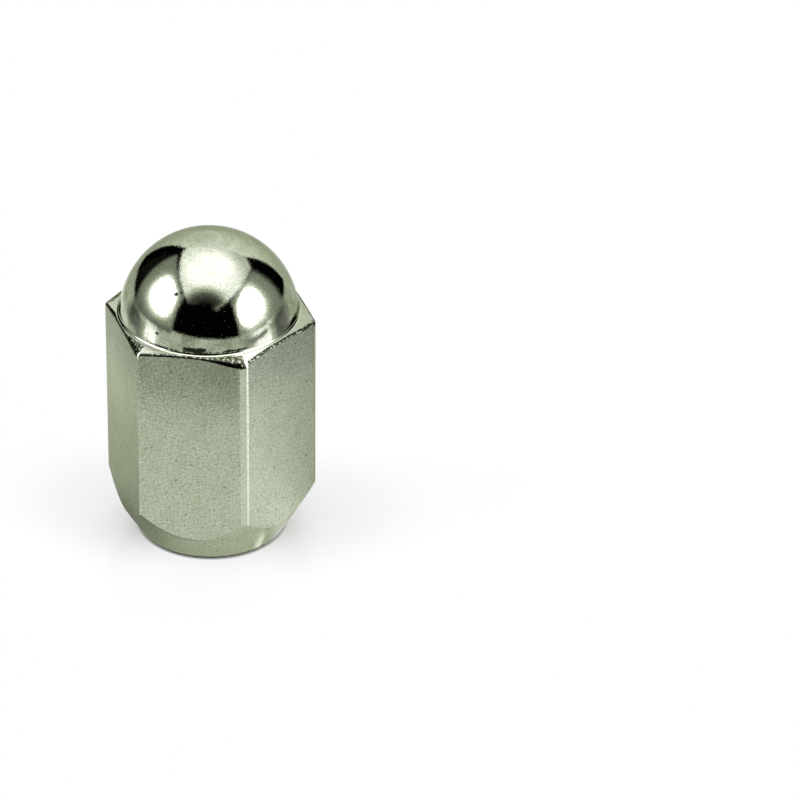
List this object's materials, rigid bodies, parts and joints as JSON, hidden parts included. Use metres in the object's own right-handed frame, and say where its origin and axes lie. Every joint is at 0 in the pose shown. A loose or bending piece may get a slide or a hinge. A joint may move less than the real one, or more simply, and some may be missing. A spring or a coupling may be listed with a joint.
{
  "type": "lug nut",
  "caption": "Closed acorn lug nut: hexagon shank with rounded corners, conical seat round its threaded mouth, and a domed end.",
  "frame": {"origin": "centre of the mouth face, which the nut stands on", "axes": "+Z along the axis to the top of the dome; two of the flats face -Y and +Y, and two corners point to -X and +X"},
  "size_m": [0.0234, 0.0206, 0.0364],
  "materials": {
    "plated_steel": "nickel plate: satin flats and mouth face, polished dome, seat and end chamfer"
  },
  "bodies": {
    "root": {"lug_nut": "plated_steel"}
  },
  "joints": []
}
